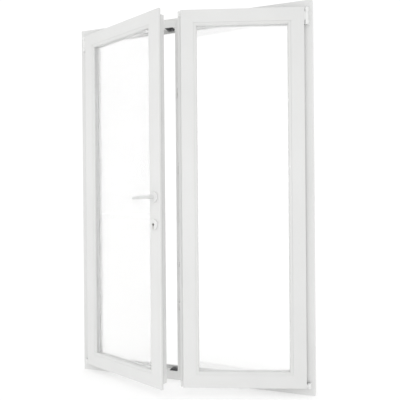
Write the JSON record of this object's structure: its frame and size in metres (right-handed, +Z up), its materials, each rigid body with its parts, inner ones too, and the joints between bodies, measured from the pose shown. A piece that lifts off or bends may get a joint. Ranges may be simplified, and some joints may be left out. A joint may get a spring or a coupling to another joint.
{
  "type": "french doors",
  "caption": "White plastic-framed double glazed french doors with inward-opening leaves, a meeting post, a lever handle and a key lock, in their own frame.",
  "frame": {"origin": "centre of the sill's bottom face, midway through the frame's depth", "axes": "+X along the width to the passive leaf, +Y from the room to the outside, +Z up"},
  "size_m": [1.4, 0.3846, 2.1],
  "materials": {
    "white_profile": "satin white extruded plastic with faint lengthwise streaks",
    "white_bead": "satin white extruded plastic",
    "hinge_white": "white hinge covers over zinc",
    "handle_white": "smooth white powder coat",
    "cap_plastic": "matt white moulded plastic",
    "rubber_seal": "matt light grey extruded rubber",
    "clear_glass": "clear float glass",
    "spacer_bar": "mill finish",
    "galvanised_steel": "galvanised",
    "hardware_steel": "silver passivated",
    "dark_zinc": "dark zinc casting",
    "lock_nickel": "satin nickel"
  },
  "bodies": {
    "frame": {"frame_sill": "white_profile", "frame_head": "white_profile", "frame_jamb_left": "white_profile", "frame_jamb_right": "white_profile", "frame_steel": "galvanised_steel", "frame_seal": "rubber_seal", "drain_covers": "white_profile", "cam_keeps": "dark_zinc", "shoot_bolt_keeps": "dark_zinc", "left_top_hinge_bracket": "hinge_white", "left_bottom_hinge_bracket": "hinge_white", "right_top_hinge_bracket": "hinge_white", "right_bottom_hinge_bracket": "hinge_white", "hinge_pins": "hardware_steel"},
    "left_leaf": {"left_bottom_rail": "white_profile", "left_top_rail": "white_profile", "left_hinge_stile": "white_profile", "left_free_stile": "white_profile", "left_leaf_steel": "galvanised_steel", "left_leaf_seal": "rubber_seal", "left_beads": "white_bead", "left_inner_pane": "clear_glass", "left_outer_pane": "clear_glass", "left_spacer": "spacer_bar", "left_glass_seals": "rubber_seal", "left_hinge_arms": "hinge_white", "lock_faceplate": "hardware_steel", "lock_case": "galvanised_steel", "handle_rose": "handle_white", "inside_key_rosette": "handle_white", "outside_key_rosette": "handle_white", "lock_cylinder": "lock_nickel"},
    "right_leaf": {"right_bottom_rail": "white_profile", "right_top_rail": "white_profile", "right_hinge_stile": "white_profile", "right_free_stile": "white_profile", "right_leaf_steel": "galvanised_steel", "right_leaf_seal": "rubber_seal", "right_beads": "white_bead", "right_inner_pane": "clear_glass", "right_outer_pane": "clear_glass", "right_spacer": "spacer_bar", "right_glass_seals": "rubber_seal", "right_hinge_arms": "hinge_white", "meeting_post": "white_profile", "post_end_caps": "cap_plastic", "lock_keeps": "hardware_steel"},
    "lever_handle": {"lever": "handle_white", "spindle": "hardware_steel"},
    "latch": {"latch_bolt": "dark_zinc"},
    "lock_plug": {"key_plug": "lock_nickel"},
    "dead_bolt": {"dead_bolt": "hardware_steel"},
    "drive_rods": {"drive_rods": "hardware_steel"},
    "top_rod": {"top_rod": "hardware_steel"},
    "bottom_rod": {"bottom_rod": "hardware_steel"},
    "bolt_slider": {"bolt_slider": "hardware_steel"},
    "top_shoot_bolt": {"top_shoot_bolt": "hardware_steel"},
    "bottom_shoot_bolt": {"bottom_shoot_bolt": "hardware_steel"}
  },
  "joints": [
    {"name": "left_leaf_swing", "type": "hinge", "parent": "frame", "child": "left_leaf", "pos_m": [-0.672, -0.042, 1.05], "axis": [0, 0, -1], "range_deg": [-23.3, 71.7]},
    {"name": "right_leaf_swing", "type": "hinge", "parent": "frame", "child": "right_leaf", "pos_m": [0.672, -0.042, 1.05], "axis": [0, 0, 1], "range_deg": [-16.8, 78.2]},
    {"name": "handle_turn", "type": "hinge", "parent": "left_leaf", "child": "lever_handle", "pos_m": [-0.10297, -0.29577, 1.061], "axis": [-0.3955, -0.9184, 0], "range_deg": [0, 40], "stiffness_Nm_per_rad": 2, "springref_deg": -34.38},
    {"name": "latch_slide", "type": "slide", "parent": "left_leaf", "child": "latch", "axis": [-0.9184, 0.3955, 0], "range_m": [0, 0.0085]},
    {"name": "key_turn", "type": "hinge", "parent": "left_leaf", "child": "lock_plug", "pos_m": [-0.10297, -0.29577, 0.915], "axis": [-0.3955, -0.9184, 0], "range_deg": [0, 360]},
    {"name": "dead_bolt_throw", "type": "slide", "parent": "left_leaf", "child": "dead_bolt", "axis": [0.9184, -0.3955, 0], "range_m": [0, 0.02]},
    {"name": "drive_rod_slide", "type": "slide", "parent": "left_leaf", "child": "drive_rods", "axis": [0, 0, 1], "range_m": [0, 0.012]},
    {"name": "top_rod_slide", "type": "slide", "parent": "left_leaf", "child": "top_rod", "axis": [-0.9184, 0.3955, 0], "range_m": [0, 0.012]},
    {"name": "bottom_rod_slide", "type": "slide", "parent": "left_leaf", "child": "bottom_rod", "axis": [0.9184, -0.3955, 0], "range_m": [0, 0.012]},
    {"name": "slider_slide", "type": "slide", "parent": "right_leaf", "child": "bolt_slider", "axis": [0, 0, 1], "range_m": [0, 0.011]},
    {"name": "top_bolt_throw", "type": "slide", "parent": "right_leaf", "child": "top_shoot_bolt", "axis": [0, 0, 1], "range_m": [0, 0.011]},
    {"name": "bottom_bolt_throw", "type": "slide", "parent": "right_leaf", "child": "bottom_shoot_bolt", "axis": [0, 0, -1], "range_m": [0, 0.011]}
  ],
  "couplings": [
    {"joint": "latch_slide", "follows": "handle_turn", "m_per_rad": 0.01217},
    {"joint": "key_turn", "follows": "drive_rod_slide", "rad_per_m": 523.59},
    {"joint": "dead_bolt_throw", "follows": "drive_rod_slide", "ratio": 1.6666},
    {"joint": "top_rod_slide", "follows": "drive_rod_slide", "ratio": 1},
    {"joint": "bottom_rod_slide", "follows": "drive_rod_slide", "ratio": 1},
    {"joint": "top_bolt_throw", "follows": "slider_slide", "ratio": 1},
    {"joint": "bottom_bolt_throw", "follows": "slider_slide", "ratio": 1}
  ]
}
